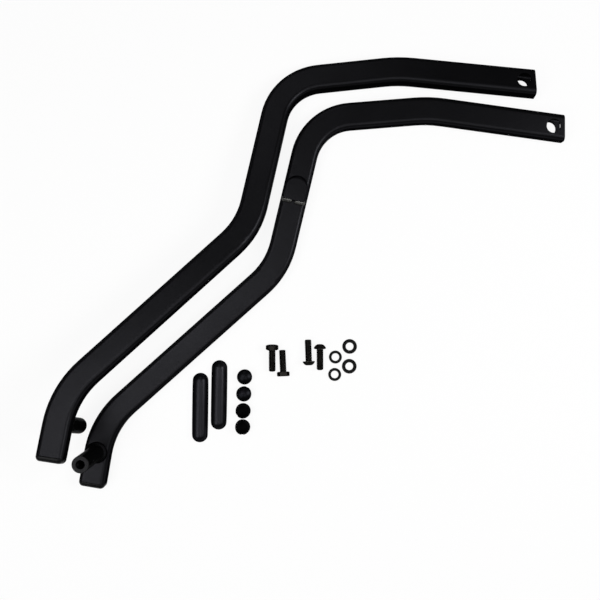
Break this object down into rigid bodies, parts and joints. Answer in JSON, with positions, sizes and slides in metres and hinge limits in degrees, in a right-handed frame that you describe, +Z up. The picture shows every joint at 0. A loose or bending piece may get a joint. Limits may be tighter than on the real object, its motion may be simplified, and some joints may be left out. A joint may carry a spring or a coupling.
{
  "type": "top case rack",
  "caption": "Bent rectangular-tube side arms with threaded bosses, end plugs, cover strips, hole caps, bolts and washers, for carrying a top case on a motorbike.",
  "frame": {"origin": "middle of the underside of the laid-out kit's box, on the surface that it lies on", "axes": "+X from the arms' feet to their open rear ends, +Y from the loose hardware to the arms, +Z up"},
  "size_m": [0.5792, 0.493, 0.0941],
  "materials": {
    "black_coat": "satin powder coat on steel",
    "plug_plastic": "moulded, satin",
    "strip_rubber": "smooth moulded",
    "cap_plastic": "moulded, satin",
    "black_zinc": "black zinc plated steel"
  },
  "bodies": {
    "root": {"right_arm_tube": "black_coat", "right_arm_boss": "black_coat", "right_arm_plate": "black_coat", "right_end_plug": "plug_plastic", "left_arm_tube": "black_coat", "left_arm_boss": "black_coat", "left_arm_plate": "black_coat", "left_end_plug": "plug_plastic", "cover_strip_1": "strip_rubber", "cover_strip_2": "strip_rubber", "hole_cap_1": "cap_plastic", "hole_cap_2": "cap_plastic", "hole_cap_3": "cap_plastic", "hole_cap_4": "cap_plastic", "hex_bolt_1": "black_zinc", "hex_bolt_2": "black_zinc", "button_bolt_1": "black_zinc", "button_bolt_2": "black_zinc", "flat_washer_1": "black_zinc", "flat_washer_2": "black_zinc", "spring_washer_1": "black_zinc", "spring_washer_2": "black_zinc"}
  },
  "joints": []
}
